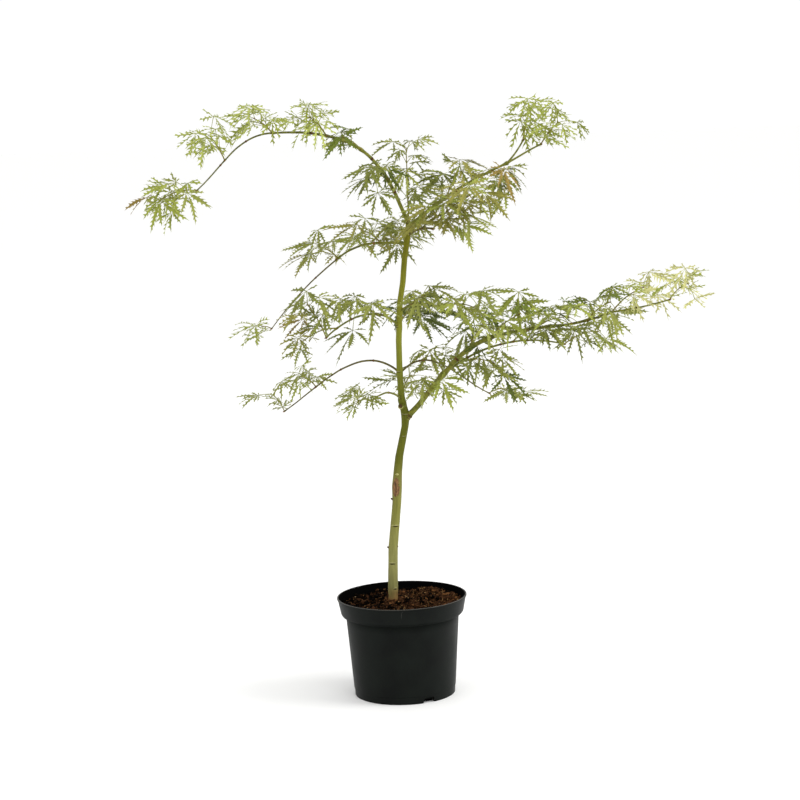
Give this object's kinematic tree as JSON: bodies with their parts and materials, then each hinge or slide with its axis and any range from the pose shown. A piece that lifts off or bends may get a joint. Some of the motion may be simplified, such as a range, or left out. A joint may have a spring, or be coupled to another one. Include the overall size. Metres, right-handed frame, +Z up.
{
  "type": "potted japanese maple",
  "caption": "Young laceleaf Japanese maple with an open, weeping crown of finely cut green leaves on arching boughs, growing in a round nursery pot.",
  "frame": {"origin": "centre of the pot's flat underside, at mount pot_base", "axes": "+Z up, +X towards the side of the long low bough, -Y the front, from which the plant is mostly seen"},
  "size_m": [0.806, 0.4104, 0.8714],
  "materials": {
    "pot": "satin",
    "compost": "matte",
    "bark": "satin",
    "foliage": "matte"
  },
  "bodies": {
    "root": {"pot": "pot", "compost": "compost", "trunk": "bark", "bough_arch_rise": "bark", "bough_arch_span": "bark", "bough_arch_fall": "bark", "bough_top_right": "bark", "bough_prong_up": "bark", "bough_prong_out": "bark", "bough_front": "bark", "bough_left_high": "bark", "bough_left_whip": "bark", "bough_left_mid": "bark", "bough_left_low": "bark", "bough_left_foot": "bark", "bough_right_twig": "bark", "bough_back_twig": "bark", "bough_right_main": "bark", "bough_right_end": "bark", "bough_right_tip": "bark", "bough_right_fork": "bark", "leaves_top": "foliage", "leaves_arch_inner": "foliage", "leaves_arch_shoulder": "foliage", "leaves_arch_crown": "foliage", "leaves_arch_ridge": "foliage", "leaves_arch_shed": "foliage", "leaves_arch_tip": "foliage", "leaves_top_shade": "foliage", "leaves_top_shed": "foliage", "leaves_prong_up": "foliage", "leaves_prong_out": "foliage", "leaves_front_near": "foliage", "leaves_front_far": "foliage", "leaves_high_near": "foliage", "leaves_high_far": "foliage", "leaves_whip_tip": "foliage", "leaves_mid_near": "foliage", "leaves_mid_far": "foliage", "leaves_mid_tip": "foliage", "leaves_low_far": "foliage", "leaves_low_tip": "foliage", "leaves_foot": "foliage", "leaves_twig_near": "foliage", "leaves_twig_far": "foliage", "leaves_back_twig_near": "foliage", "leaves_back_twig_tip": "foliage", "leaves_main_foot": "foliage", "leaves_main_under": "foliage", "leaves_main_top": "foliage", "leaves_main_head": "foliage", "leaves_fork_mid": "foliage", "leaves_crest": "foliage", "leaves_fork_tip": "foliage", "leaves_ridge": "foliage", "leaves_tip_up": "foliage", "leaves_tip_out": "foliage", "leaves_back_high": "foliage", "leaves_back_mid": "foliage", "leaves_back_low": "foliage"}
  },
  "joints": []
}
